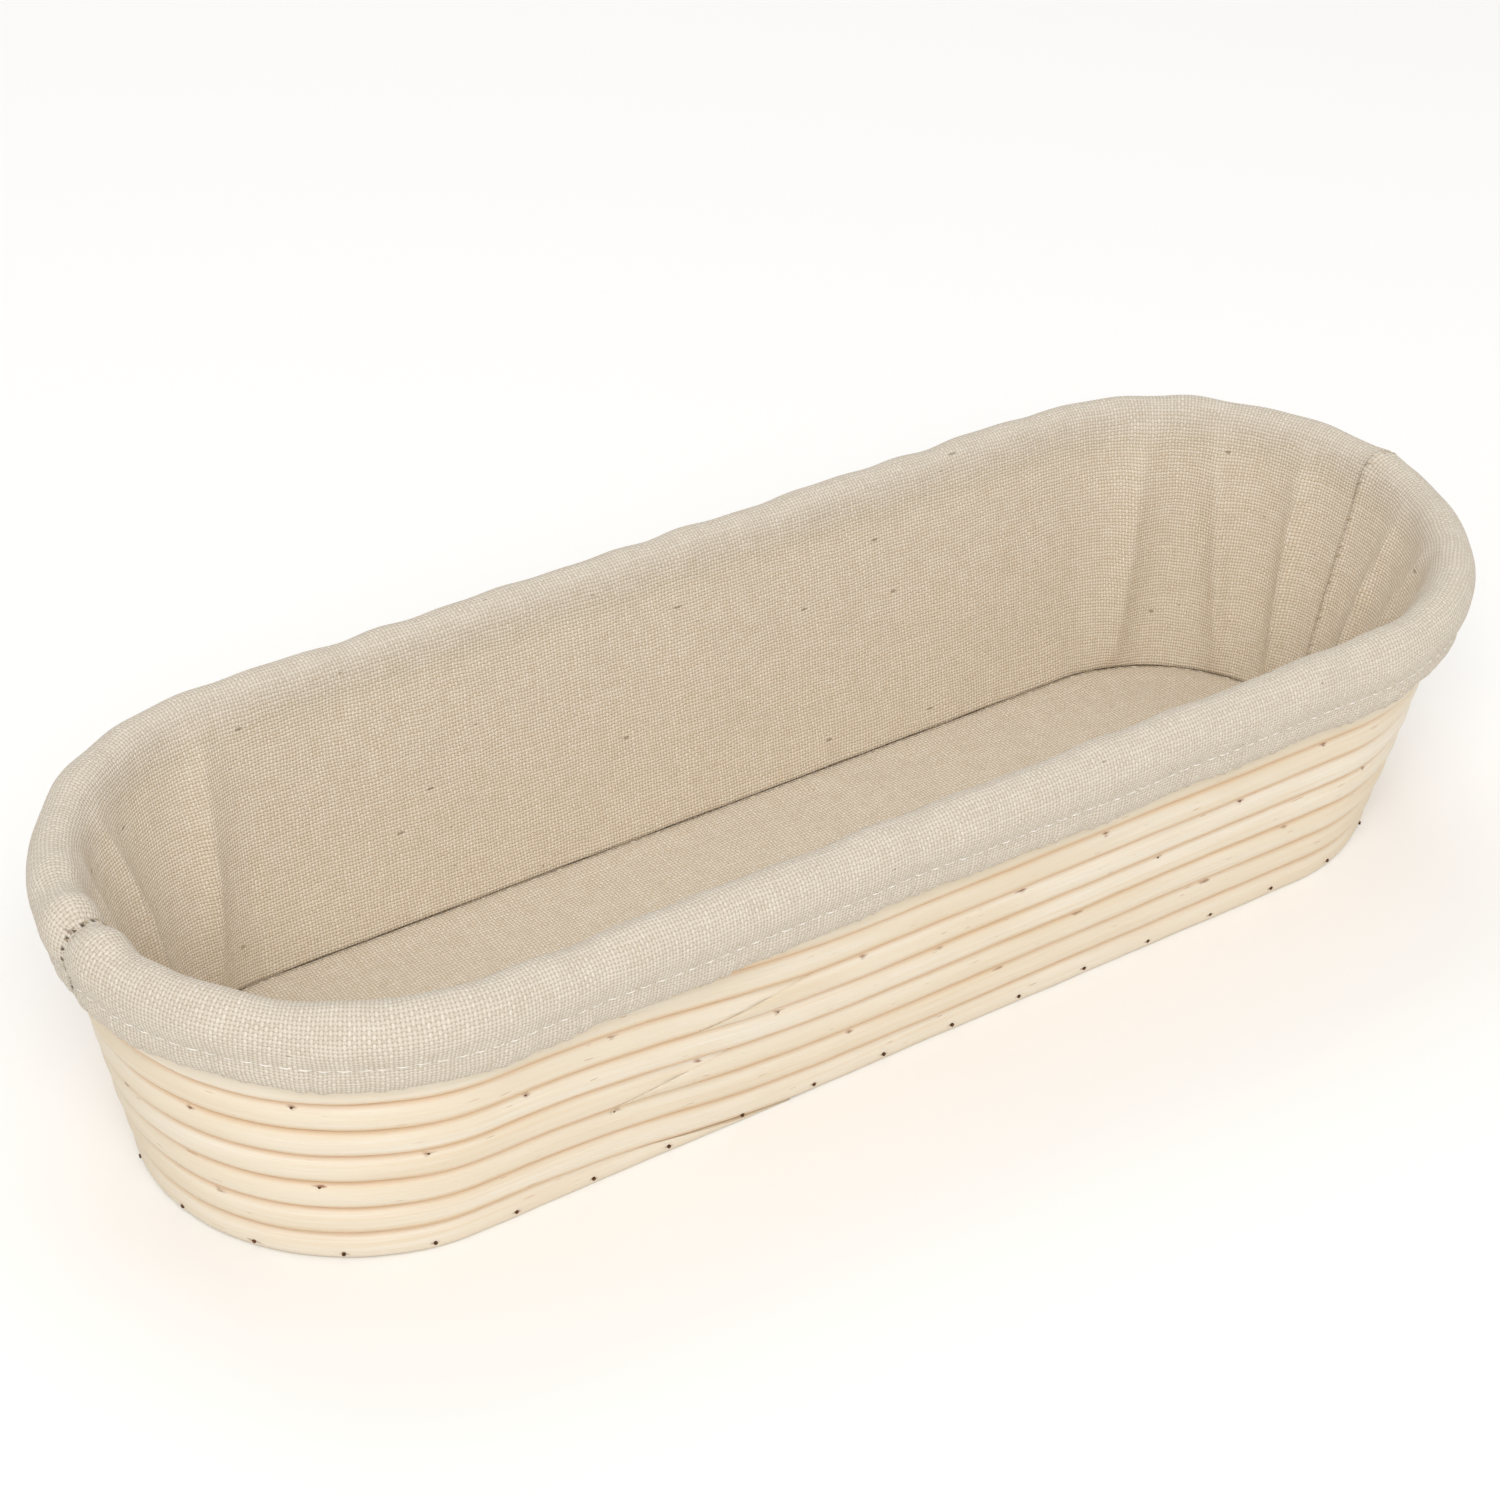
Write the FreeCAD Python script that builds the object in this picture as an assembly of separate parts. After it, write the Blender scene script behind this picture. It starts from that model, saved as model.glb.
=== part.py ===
"""Oblong proofing basket of coiled rattan cane with a lift-out linen liner. Millimetres, +Z up.

The origin is on the surface the basket stands on, under its middle, and X runs along the basket.
Every level of the wall is an oblong: two straight runs joined by half circles about (+-end_centre, 0).
"""
import math
import os

import FreeCAD
import Part

Vec = FreeCAD.Vector
UP = Vec(0, 0, 1)

# Wall: cane wound upward in one coil, each turn standing outside the one below
end_centre = 120.0        # half the length of the straight runs
base_radius = 51.0        # outer radius of the lowest turn's ends
turns = 9
pitch = 8.6               # rise of one turn
flare = 1.8               # how far each turn stands outside the one below
cane_width = 7.0          # across the wall
turn_gap = 0.1            # between one turn and the next
outer_crown = 1.8         # depth of the rounded outer face
inner_crown = 1.2
ramp_start = -20.0        # on the front run the coil climbs one level between these two places
ramp_end = -116.0
ramp_ease = 0.45          # share of the ramp that eases in, and out
scarf_length = 36.0       # slanted joint between two lengths of cane
scarf_gap = 0.05
scarfs = [("back", 1, 60.0), ("ramp", 2, -72.0), ("ramp", 4, -52.0), ("back", 6, -40.0), ("front", 7, 40.0)]

# Base: a straight core rod and flat oblong coils of cane wound round it
base_rows = 5             # rows of cane on each side of the core
base_height = 6.8
base_lift = 0.6           # height of the base's underside
base_crown = 1.2
base_wall_gap = 0.2
base_gap = 0.1            # between two rows
base_scarf_row = 3        # the joint between the base's two lengths is on the back run of this row
base_scarf_place = -30.0
tail_width = 1.0          # where the tapered end of the last row is cut off

# Wire brads
brad_diameter = 0.9
brad_length = 12.0
brad_proud = 0.15         # how far a head stands out of the cane
brad_entry = 7.0          # height of a wall brad's head on its cane
brad_lean = 23.0          # degrees from upright, down and inward
run_brads = 3
end_brads = 3
edge_brads = 40
edge_brad_height = 2.6
cross_brad_spacing = 56.0
cross_brad_height = 5.4    # over the wall's brads, which end beside them

# Liner
cloth = 0.8
clearance = 0.3           # between the cloth and the cane
seam_gap = 0.05           # between two sewn panels
rim_outer_round = 2.2     # where the cloth turns down outside the rim
rim_inner_round = 1.2     # where it turns over from the inside
hem_drop = 20.0           # from the top of the rim to the hem's fold
elastic_width = 5.0
elastic_thickness = 0.7
casing_play = 0.15        # round the elastic
casing_overlap = 2.0      # where the turned-up edge is stitched to the outer layer
thread = 0.5

cane_height = pitch - turn_gap
wall_height = turns * pitch - turn_gap
core_radius = base_radius - cane_width
base_edge = core_radius - base_wall_gap
row_pitch = base_edge / (base_rows + 0.5)
row_width = row_pitch - base_gap
base_top = base_lift + base_height
lean = math.atan2(flare, pitch)


def inner_radius(level):
    """Inner radius of a turn's ends, which is also the half width between its straight runs."""
    return core_radius + flare * level


def level_height(level):
    return pitch * level


# Sections are lists of (u, v) edges, u outward and v up: two points make a line and three an arc


def polygon(points):
    return [(points[i], points[(i + 1) % len(points)]) for i in range(len(points))]


def rectangle(u0, u1, v0, v1):
    return polygon([(u0, v0), (u1, v0), (u1, v1), (u0, v1)])


def thread_section(u, v):
    """An eight-sided section, near enough round for a thread."""
    turn = [math.pi * (2 * i + 1) / 8 for i in range(8)]
    return polygon([(u + thread / 2 * math.cos(a), v + thread / 2 * math.sin(a)) for a in turn])


def barrel(u0, width, height, inner, outer):
    """A cane's section: flat above and below, and rounded at both sides."""
    u1 = u0 + width
    low, high = (u1 - outer, 0.0), (u1 - outer, height)
    back_high, back_low = (u0 + inner, height), (u0 + inner, 0.0)
    return [(back_low, low), (low, (u1, height / 2), high), (high, back_high),
            (back_high, (u0, height / 2), back_low)]


def section_wire(section, at, outward):
    made = []
    for edge in section:
        points = [at + outward * u + UP * v for u, v in edge]
        curve = Part.LineSegment(*points) if len(points) == 2 else Part.Arc(*points)
        made.append(curve.toShape())
    return Part.Wire(made)


def straight(section, y, z, outward, x0, x1):
    """Draws a section out along X from x0 to x1."""
    face = Part.Face(section_wire(section, Vec(x0, y, z), Vec(0, outward, 0)))
    return face.extrude(Vec(x1 - x0, 0, 0))


def bend(section, cx, cy, z, start, sweep):
    """Turns a section about the vertical line through (cx, cy), with angles in degrees."""
    a = math.radians(start)
    face = Part.Face(section_wire(section, Vec(cx, cy, z), Vec(math.cos(a), math.sin(a), 0)))
    return face.revolve(Vec(cx, cy, 0), UP, sweep)


def prism(points, y0, y1):
    """A polygon in the XZ plane, drawn out along Y."""
    wire = Part.makePolygon([Vec(x, y0, z) for x, z in points + points[:1]])
    return Part.Face(wire).extrude(Vec(0, y1 - y0, 0))


def fused(pieces):
    """One solid from pieces that meet end to end."""
    solids = [s for p in pieces for s in p.Solids]
    return solids[0].multiFuse(solids[1:]) if len(solids) > 1 else solids[0]


# Wall canes


cane = barrel(0.0, cane_width, cane_height, inner_crown, outer_crown)


def ramp_at(t):
    """Place along X and share of the climb, for a curve parameter from 0 to 1."""
    along = 3 * ramp_ease * t * (1 - t) ** 2 + 3 * (1 - ramp_ease) * t * t * (1 - t) + t ** 3
    return ramp_start + (ramp_end - ramp_start) * along, t * t * (3 - 2 * t)


def climb(x):
    """Share of one level that the coil has climbed at a place on the front run."""
    low, high = 0.0, 1.0
    for _ in range(40):
        middle = (low + high) / 2
        low, high = (middle, high) if ramp_at(middle)[0] > x else (low, middle)
    return ramp_at((low + high) / 2)[1]


def wall_run(level, side, x0, x1):
    return straight(cane, side * inner_radius(level), level_height(level), side, x0, x1)


def wall_end(level, side):
    section = [tuple((u + inner_radius(level), v) for u, v in edge) for edge in cane]
    return bend(section, side * end_centre, 0, level_height(level), -90 if side > 0 else 90, 180)


def wall_ramp(level, section):
    """The climb from a level to the next, with the section kept upright."""
    low = Vec(ramp_start, -inner_radius(level), level_height(level))
    high = Vec(ramp_end, -inner_radius(level + 1), level_height(level + 1))
    ease = Vec((ramp_end - ramp_start) * ramp_ease, 0, 0)
    curve = Part.BezierCurve()
    curve.setPoles([low, low + ease, high - ease, high])
    sweep = Part.BRepOffsetAPI.MakePipeShell(Part.Wire([curve.toShape()]))
    sweep.setBiNormalMode(UP)
    sweep.add(section_wire(section, low, Vec(0, -1, 0)))
    sweep.build()
    sweep.makeSolid()
    return sweep.shape()


def scarf_side(kind, level, place, direction, upper):
    """What a slanted joint takes off: the upper part of the length that ends, or the lower of the next."""
    def floor_at(x):
        return level_height(level + (climb(x) if kind == "ramp" else 0.0))
    before = place - direction * scarf_length / 2
    after = place + direction * scarf_length / 2
    shift = scarf_gap / 2 * (-1 if upper else 1)
    slant = [(before, floor_at(before) + cane_height + shift), (after, floor_at(after) + shift)]
    far = after + direction * 3 * end_centre if upper else before - direction * 3 * end_centre
    top, bottom = level_height(level + 4), level_height(level - 3)
    if upper:
        points = slant + [(after, bottom), (far, bottom), (far, top), (before, top)]
    else:
        points = [slant[1], slant[0], (before, top), (far, top), (far, bottom), (after, bottom)]
    return prism(points, -2 * base_radius, 2 * base_radius)


def turn_pieces(level):
    """A turn's pieces in winding order, with their kind and direction along X."""
    pieces = [("front", -1, wall_run(level, -1, ramp_end, -end_centre)), ("left", 0, wall_end(level, -1)),
              ("back", 1, wall_run(level, 1, -end_centre, end_centre)), ("right", 0, wall_end(level, 1)),
              ("front", -1, wall_run(level, -1, end_centre, ramp_start))]
    if level < turns - 1:
        pieces.append(("ramp", -1, wall_ramp(level, cane)))
    return pieces


def coil_start():
    """The wedge under the first climb."""
    above = rectangle(-cane_width, 2 * cane_width, -turn_gap, 3 * pitch)
    return wall_run(0, -1, ramp_end, ramp_start).cut(wall_ramp(0, above))


def coil_finish():
    """The wedge over the last climb, which brings the rim level."""
    below = rectangle(-cane_width, 2 * cane_width, -3 * pitch, pitch)
    return wall_run(turns - 1, -1, ramp_end, ramp_start).cut(wall_ramp(turns - 2, below))


def wall_canes():
    """Every length of wall cane, from the start of the coil to its finish at the rim."""
    lengths, pieces, waiting = [], [coil_start()], list(scarfs)
    for level in range(turns):
        for kind, direction, shape in turn_pieces(level):
            box = shape.BoundBox
            if waiting and waiting[0][:2] == (kind, level) and box.XMin < waiting[0][2] < box.XMax:
                place = waiting.pop(0)[2]
                pieces.append(shape.cut(scarf_side(kind, level, place, direction, True)))
                lengths.append(fused(pieces))
                pieces = [shape.cut(scarf_side(kind, level, place, direction, False))]
            else:
                pieces.append(shape)
    lengths.append(fused(pieces + [coil_finish()]))
    return lengths


# Base canes


def row_section(radius):
    return barrel(radius - row_width / 2, row_width, base_height, base_crown, base_crown)


def base_run(row, side, x0, x1):
    return straight(row_section(0.0), side * row * row_pitch, base_lift, side, x0, x1)


def base_bend(row, side):
    """A row's half circle; those on the right step out to the next row."""
    if side < 0:
        return bend(row_section(row * row_pitch), -end_centre, 0, base_lift, 90, 180)
    return bend(row_section((row + 0.5) * row_pitch), end_centre, -row_pitch / 2, base_lift, -90, 180)


def solid_bend(cx, cy, radius, start):
    """A half disc with a rounded rim, where the cane has no room to bend round anything."""
    low, high = (radius - base_crown, 0.0), (radius - base_crown, base_height)
    section = [((0.0, 0.0), low), (low, (radius, base_height / 2), high), (high, (0.0, base_height)),
               ((0.0, base_height), (0.0, 0.0))]
    return bend(section, cx, cy, base_lift, start, 180)


def core_strip():
    rod = base_run(0, 1, -end_centre, end_centre - base_gap)
    return fused([rod, solid_bend(-end_centre, 0, row_width / 2, 90)])


def base_loop(row, back_end=True):
    """A row's front run, left bend and back run."""
    pieces = [base_run(row, -1, end_centre, -end_centre), base_bend(row, -1)]
    return pieces + [base_run(row, 1, -end_centre, end_centre)] if back_end else pieces


def base_scarf(upper):
    """What the slanted joint on the back run takes off, as in the wall."""
    before, after = base_scarf_place - scarf_length / 2, base_scarf_place + scarf_length / 2
    shift = scarf_gap / 2 * (-1 if upper else 1)
    slant = [(before, base_top + shift), (after, base_lift + shift)]
    far = 2 * end_centre if upper else -2 * end_centre
    if upper:
        points = slant + [(after, -pitch), (far, -pitch), (far, 3 * pitch), (before, 3 * pitch)]
    else:
        points = [slant[1], slant[0], (before, 3 * pitch), (far, 3 * pitch), (far, -pitch), (after, -pitch)]
    return prism(points, 0, 2 * base_radius)


def inner_coils():
    pieces = [solid_bend(end_centre, -row_pitch / 2, row_pitch - base_gap / 2, -90)]
    for row in range(1, base_scarf_row):
        pieces += base_loop(row) + [base_bend(row, 1)]
    pieces += base_loop(base_scarf_row, back_end=False)
    back = base_run(base_scarf_row, 1, -end_centre, end_centre)
    return fused(pieces + [back.cut(base_scarf(True))])


def base_tail():
    """The last row's end, tapered between the row before it and the wall."""
    outer = Part.makeCylinder(base_edge, base_height, Vec(end_centre, 0, base_lift))
    inner = Part.makeCylinder(base_rows * row_pitch + base_gap / 2, 3 * base_height,
                              Vec(end_centre, -row_pitch / 2, base_lift - base_height))
    end = base_edge * (2 * tail_width / row_pitch - 1)
    keep = Part.makeBox(base_edge, base_edge - end, base_height, Vec(end_centre, end, base_lift))
    return outer.common(keep).cut(inner)


def outer_coils():
    back = base_run(base_scarf_row, 1, -end_centre, end_centre)
    pieces = [back.cut(base_scarf(False))]
    for row in range(base_scarf_row + 1, base_rows + 1):
        pieces += [base_bend(row - 1, 1)] + base_loop(row)
    return fused(pieces + [base_tail()])


# Brads


def outline_point(radius, s):
    """A point and outward direction on an oblong, for s from 0 to 1 going round from the front's middle."""
    run, arc = 2 * end_centre, math.pi * radius
    d = (s % 1.0) * 2 * (run + arc)
    if d < run / 2:
        return Vec(-d, -radius, 0), Vec(0, -1, 0)
    if d < run / 2 + arc:
        a = -math.pi / 2 - (d - run / 2) / radius
        outward = Vec(math.cos(a), math.sin(a), 0)
        return Vec(-end_centre, 0, 0) + outward * radius, outward
    if d < run * 1.5 + arc:
        return Vec(-end_centre + d - run / 2 - arc, radius, 0), Vec(0, 1, 0)
    if d < run * 1.5 + 2 * arc:
        a = math.pi / 2 - (d - run * 1.5 - arc) / radius
        outward = Vec(math.cos(a), math.sin(a), 0)
        return Vec(end_centre, 0, 0) + outward * radius, outward
    return Vec(2 * (run + arc) - d, -radius, 0), Vec(0, -1, 0)


def brad(head, direction):
    return Part.makeCylinder(brad_diameter / 2, brad_length, head, direction)


def wall_brad(level, point, outward):
    """A brad through the cane at a level, down and inward into the cane below."""
    half = cane_height / 2
    face = cane_width - outer_crown * ((brad_entry - half) / half) ** 2
    a = math.radians(brad_lean)
    head = point + outward * (face + brad_proud) + UP * (level_height(level) + brad_entry)
    return brad(head, outward * -math.sin(a) - UP * math.cos(a))


def wall_brads():
    made = []
    count = 2 * (run_brads + end_brads)
    for turn in range(1, turns):
        for i in range(count):
            s = (i + 0.5 * (turn % 2) + 0.17 * turn) / count
            point, outward = outline_point(inner_radius(turn), s)
            level = turn
            if outward.y < -0.999:
                level = turn + climb(point.x) - (1 if point.x < ramp_start else 0)
                point = Vec(point.x, -inner_radius(level), 0)
            if level >= 1:
                made.append(wall_brad(level, point, outward))
    return Part.makeCompound(made)


def base_edge_brads():
    """Brads driven in through the lowest turn of the wall into the base."""
    made = []
    for i in range(edge_brads):
        point, outward = outline_point(base_radius + brad_proud, (i + 0.5) / edge_brads)
        made.append(brad(point + UP * edge_brad_height, outward * -1))
    return Part.makeCompound(made)


def base_cross_brads():
    """Brads that pin each row of the base to the one inside it."""
    made = []
    for row in range(1, base_rows + 1):
        for side in (-1, 1):
            for i in range(4):
                x = (i - 1.5) * cross_brad_spacing + row * row_pitch
                head = Vec(x, side * (row * row_pitch + row_width / 2 - brad_proud), cross_brad_height)
                made.append(brad(head, Vec(0, -side, 0)))
    return Part.makeCompound(made)


# Liner

cloth_across = cloth / math.cos(lean)             # the cloth's thickness measured level
floor_bottom = base_top + clearance
floor_top = floor_bottom + cloth
wall_bottom = floor_top + seam_gap
rim_top = wall_height + clearance + cloth
hem_bottom = rim_top - hem_drop
drop_inner = inner_radius(turns - 1) + cane_width + clearance
fold_outer = drop_inner + cloth                   # face of the turned-up edge
casing_outer = fold_outer + elastic_thickness + 2 * casing_play
elastic_bottom = hem_bottom + cloth + casing_play
casing_slope = casing_outer - fold_outer         # the casing narrows to its stitching over this height
casing_top = elastic_bottom + elastic_width + casing_play + casing_slope + cloth
stitch_height = casing_top + casing_overlap / 2


def cloth_radius(z):
    """Cane-side face of the liner inside the basket."""
    touching = core_radius + flare * (z - cane_height / 2) / pitch
    return touching - clearance / math.cos(lean)


def corner(p, towards_a, towards_b, size):
    """Points where a rounded corner starts, bulges and ends; the directions are unit vectors."""
    a = (p[0] + towards_a[0] * size, p[1] + towards_a[1] * size)
    b = (p[0] + towards_b[0] * size, p[1] + towards_b[1] * size)
    middle = ((a[0] + b[0]) / 2, (a[1] + b[1]) / 2)
    return a, (p[0] * 0.55 + middle[0] * 0.45, p[1] * 0.55 + middle[1] * 0.45), b


def lip_edges():
    """Outer face of the cloth over the rim, from the outside to the inside."""
    down_slope = (-math.sin(lean), -math.cos(lean))
    outside = (fold_outer, rim_top)
    inside = (cloth_radius(rim_top - cloth) - cloth_across, rim_top)
    a0, a1, a2 = corner(outside, (0, -1), (-1, 0), rim_outer_round)
    b0, b1, b2 = corner(inside, (1, 0), down_slope, rim_inner_round)
    return (a0, a1, a2), (b0, b1, b2)


def wall_section():
    """A liner wall: up the inside, over the rim, down outside, and turned up round the elastic."""
    rim, lip = lip_edges()
    under_rim = wall_height + clearance
    meet = casing_top + casing_overlap
    sewn = fold_outer + seam_gap
    foot = cloth_radius(wall_bottom)
    path = [rim[0], (sewn + cloth, meet + cloth), (sewn + cloth, casing_top),
            (casing_outer + cloth, casing_top - casing_slope), (casing_outer + cloth, hem_bottom),
            (drop_inner, hem_bottom), (drop_inner, meet), (fold_outer, meet),
            (fold_outer, hem_bottom + cloth), (casing_outer, hem_bottom + cloth),
            (casing_outer, casing_top - casing_slope - cloth / 2), (sewn, casing_top - cloth / 2),
            (sewn, meet + cloth / 2), (drop_inner, meet + cloth + casing_slope),
            (drop_inner, under_rim), (cloth_radius(under_rim), under_rim),
            (foot, wall_bottom), (foot - cloth_across, wall_bottom)]
    edges = [(path[i], path[i + 1]) for i in range(len(path) - 1)]
    return edges + [(path[-1], lip[2]), (lip[2], lip[1], lip[0]), (lip[0], rim[2]), (rim[2], rim[1], rim[0])]


def liner_wall(side):
    """The front or back half of the liner's wall, seamed to the other at both ends."""
    section = wall_section()
    trim = math.degrees(seam_gap / 2 / core_radius)
    start = 180 if side < 0 else 0
    near = bend(section, side * end_centre, 0, 0, start + trim, 90 - trim)
    far = bend(section, -side * end_centre, 0, 0, start + 90, 90 - trim)
    return fused([near, straight(section, 0, 0, side, -end_centre, end_centre), far])


def loop(section):
    """A closed oblong ring, with u measured from the end centres."""
    ends = [bend(section, side * end_centre, 0, 0, -90 * side, 180) for side in (-1, 1)]
    runs = [straight(section, 0, 0, side, -end_centre, end_centre) for side in (-1, 1)]
    return fused(ends + runs)


def floor_panel():
    radius = cloth_radius(floor_bottom)
    ends = [Part.makeCylinder(radius, cloth, Vec(side * end_centre, 0, floor_bottom)) for side in (-1, 1)]
    middle = Part.makeBox(2 * end_centre, 2 * radius, cloth, Vec(-end_centre, -radius, floor_bottom))
    return middle.multiFuse(ends).removeSplitter()


def seam_stitching(side):
    """The end seam's thread: up the inside, over the rim and down to the hem."""
    off = thread / 2 + seam_gap
    low = wall_bottom + cloth + thread
    inside = cloth_radius(rim_top - cloth) - cloth_across
    points = [(cloth_radius(low) - cloth_across - off, low), (inside - off, rim_top + off),
              (fold_outer + off, rim_top + off), (fold_outer + off, rim_top - rim_outer_round),
              (fold_outer + seam_gap + cloth + off, casing_top + casing_overlap + cloth)]
    spots = [Vec(side * (end_centre + u), 0, v) for u, v in points]
    pieces = [Part.makeSphere(thread / 2, p) for p in spots]
    for p, q in zip(spots, spots[1:]):
        pieces.append(Part.makeCylinder(thread / 2, (q - p).Length, p, q - p))
    return pieces[0].multiFuse(pieces[1:])


def floor_seam():
    u = cloth_radius(wall_bottom) - cloth_across - thread / 2 - seam_gap
    return loop(thread_section(u, floor_top + thread / 2 + seam_gap))


def hem_stitching():
    return loop(thread_section(fold_outer + 2 * seam_gap + cloth + thread / 2, stitch_height))


def hem_elastic():
    return loop(rectangle(fold_outer + casing_play, fold_outer + casing_play + elastic_thickness,
                          elastic_bottom, elastic_bottom + elastic_width))


def export(name, shape):
    print(name, "solids", len(shape.Solids), "valid", shape.isValid(), "volume", round(shape.Volume))
    shape.exportStep("parts/%s.step" % name)


os.makedirs("parts", exist_ok=True)
for number, length in enumerate(wall_canes(), 1):
    export("wall_cane_%d" % number, length)
export("base_core_strip", core_strip())
export("base_cane_inner", inner_coils())
export("base_cane_outer", outer_coils())
export("wall_brads", wall_brads())
export("base_edge_brads", base_edge_brads())
export("base_cross_brads", base_cross_brads())
export("liner_base_panel", floor_panel())
export("liner_wall_front", liner_wall(-1))
export("liner_wall_back", liner_wall(1))
export("hem_elastic", hem_elastic())
export("hem_thread", hem_stitching())
export("base_seam_thread", floor_seam())
export("end_seam_thread_left", seam_stitching(-1))
export("end_seam_thread_right", seam_stitching(1))
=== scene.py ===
import math
import bmesh
import bpy
import numpy as np
from mathutils import Matrix, Vector
from mathutils.kdtree import KDTree


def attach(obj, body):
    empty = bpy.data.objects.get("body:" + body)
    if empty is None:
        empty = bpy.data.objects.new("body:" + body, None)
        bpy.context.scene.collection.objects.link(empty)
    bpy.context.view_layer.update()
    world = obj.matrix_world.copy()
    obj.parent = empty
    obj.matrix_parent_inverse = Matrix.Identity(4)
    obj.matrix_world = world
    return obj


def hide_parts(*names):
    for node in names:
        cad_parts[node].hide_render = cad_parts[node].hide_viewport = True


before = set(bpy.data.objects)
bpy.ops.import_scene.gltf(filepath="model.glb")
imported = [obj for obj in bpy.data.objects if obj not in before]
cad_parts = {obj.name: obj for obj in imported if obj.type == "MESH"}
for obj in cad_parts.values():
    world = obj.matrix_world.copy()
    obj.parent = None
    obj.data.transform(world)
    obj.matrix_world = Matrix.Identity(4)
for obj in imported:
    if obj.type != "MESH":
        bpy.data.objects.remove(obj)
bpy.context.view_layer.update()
mm = 0.001
farOff = 1e9           # beyond either end of any cane
scene = bpy.context.scene
print("frame loaded")


# sRGB hex to linear colour
def hexColour(text):
    parts = [int(text[i:i + 2], 16) / 255 for i in (1, 3, 5)]
    return tuple(c / 12.92 if c <= 0.04045 else ((c + 0.055) / 1.055) ** 2.4 for c in parts) + (1.0,)


# adds a node with its settings, and links or values for its inputs, and gives its first output
def addNode(tree, kind, settings=None, inputs=None):
    node = tree.nodes.new(kind)
    for name, value in (settings or {}).items():
        setattr(node, name, value)
    for key, value in (inputs or {}).items():
        if isinstance(value, bpy.types.NodeSocket):
            tree.links.new(value, node.inputs[key])
        else:
            node.inputs[key].default_value = value
    return node.outputs[0] if node.outputs else None


def newMaterial(name):
    material = bpy.data.materials.new(name)
    material.use_nodes = True
    material.node_tree.nodes.clear()
    return material, material.node_tree


def finishMaterial(tree, shader):
    addNode(tree, "ShaderNodeOutputMaterial", None, {"Surface": shader})


# a slow wander made of a few sines, the same on every run
def wander(s, waves, size, seed):
    rng = np.random.default_rng(seed)
    total = sum(np.sin(2 * np.pi * (s / w) * rng.uniform(0.85, 1.15) + rng.uniform(0, 6.28)) for w in waves)
    return size * total / len(waves)


def smoothStep(low, high, x):
    t = np.clip((x - low) / (high - low), 0, 1)
    return t * t * (3 - 2 * t)


# distance along a flat line at each of its points
def distanceAlong(points):
    return np.concatenate([[0], np.cumsum(np.hypot(*np.diff(points, axis=0).T))])


# a mesh from a grid of points in mm, with UVs in metres and named values at its points
def gridMesh(name, points, u, v, wrap=False, values=None, capped=False):
    rows, columns = points.shape[:2]
    i, j = np.meshgrid(np.arange(rows - 1), np.arange(columns if wrap else columns - 1), indexing="ij")
    i, j = i.ravel(), j.ravel()
    k = (j + 1) % columns
    faces = np.stack([i * columns + j, i * columns + k, (i + 1) * columns + k, (i + 1) * columns + j], 1)
    caps = [list(range(columns))[::-1], list(range((rows - 1) * columns, rows * columns))] if capped else []
    mesh = bpy.data.meshes.new(name)
    mesh.from_pydata(points.reshape(-1, 3) * mm, [], faces.tolist() + caps)
    layer = mesh.uv_layers.new(name="UVMap")
    cornerU = np.stack([u[i, j], u[i, k], u[i + 1, k], u[i + 1, j]], 1)
    cornerV = np.stack([v[i, j], v[i, j + 1], v[i + 1, j + 1], v[i + 1, j]], 1)
    uv = np.stack([cornerU, cornerV], 2).reshape(-1, 2)
    flat = np.zeros((len(mesh.loops), 2), np.float32)
    flat[:len(uv)] = uv * mm
    layer.data.foreach_set("uv", flat.ravel())
    for key, value in (values or {}).items():
        mesh.attributes.new(key, "FLOAT", "POINT").data.foreach_set("value", value.astype(np.float32).ravel())
    mesh.polygons.foreach_set("use_smooth", [True] * len(mesh.polygons))
    mesh.update()
    made = bpy.data.objects.new(name, mesh)
    scene.collection.objects.link(made)
    return made


# The wall: one coil of cane in six lengths, spliced with long slanted joints

wall = {
    "endCentre": 120.0,    # mm, half the straight runs
    "coreRadius": 44.0,    # inside the lowest turn's ends
    "flare": 1.8,          # each turn stands this far outside the one below
    "pitch": 8.6,
    "width": 7.0,
    "height": 8.68,        # a little more than the pitch, as the turns press together
    "turns": 9,
    "rampStart": -20.0,    # the coil climbs on the front between these
    "rampEnd": -116.0,
    "rampEase": 0.45,
    "scarf": 36.0,         # length of a slanted joint
    "scarfGap": 0.08,
    # the joints: stretch, turn and place along it
    "joints": [("back", 1, 60.0), ("ramp", 2, -72.0), ("ramp", 4, -52.0), ("back", 6, -40.0),
               ("front", 7, 40.0)],
    "thinnest": 0.3,       # cane cut thinner than this is left out
    "step": 2.0,           # between rings along the cane
    "sectionPoints": 26,
    "squareness": 2.5,     # 2 would be an oval section
    "flat": False,         # the turns lie on each other
    "frontCrown": 0.6,     # the long front run is sanded flatter than the ends
    "wander": 0.22,        # how unevenly the cane lies, in and out
    "seed": 11,
}


# the climb: how far along the front, and what share of a level has been climbed there
rampT = np.linspace(0, 1, 400)
rampShare = rampT ** 2 * (3 - 2 * rampT)
ease = wall["rampEase"]
rampAlong = 3 * ease * rampT * (1 - rampT) ** 2 + 3 * (1 - ease) * rampT ** 2 * (1 - rampT) + rampT ** 3
rampX = wall["rampStart"] + (wall["rampEnd"] - wall["rampStart"]) * rampAlong


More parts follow.
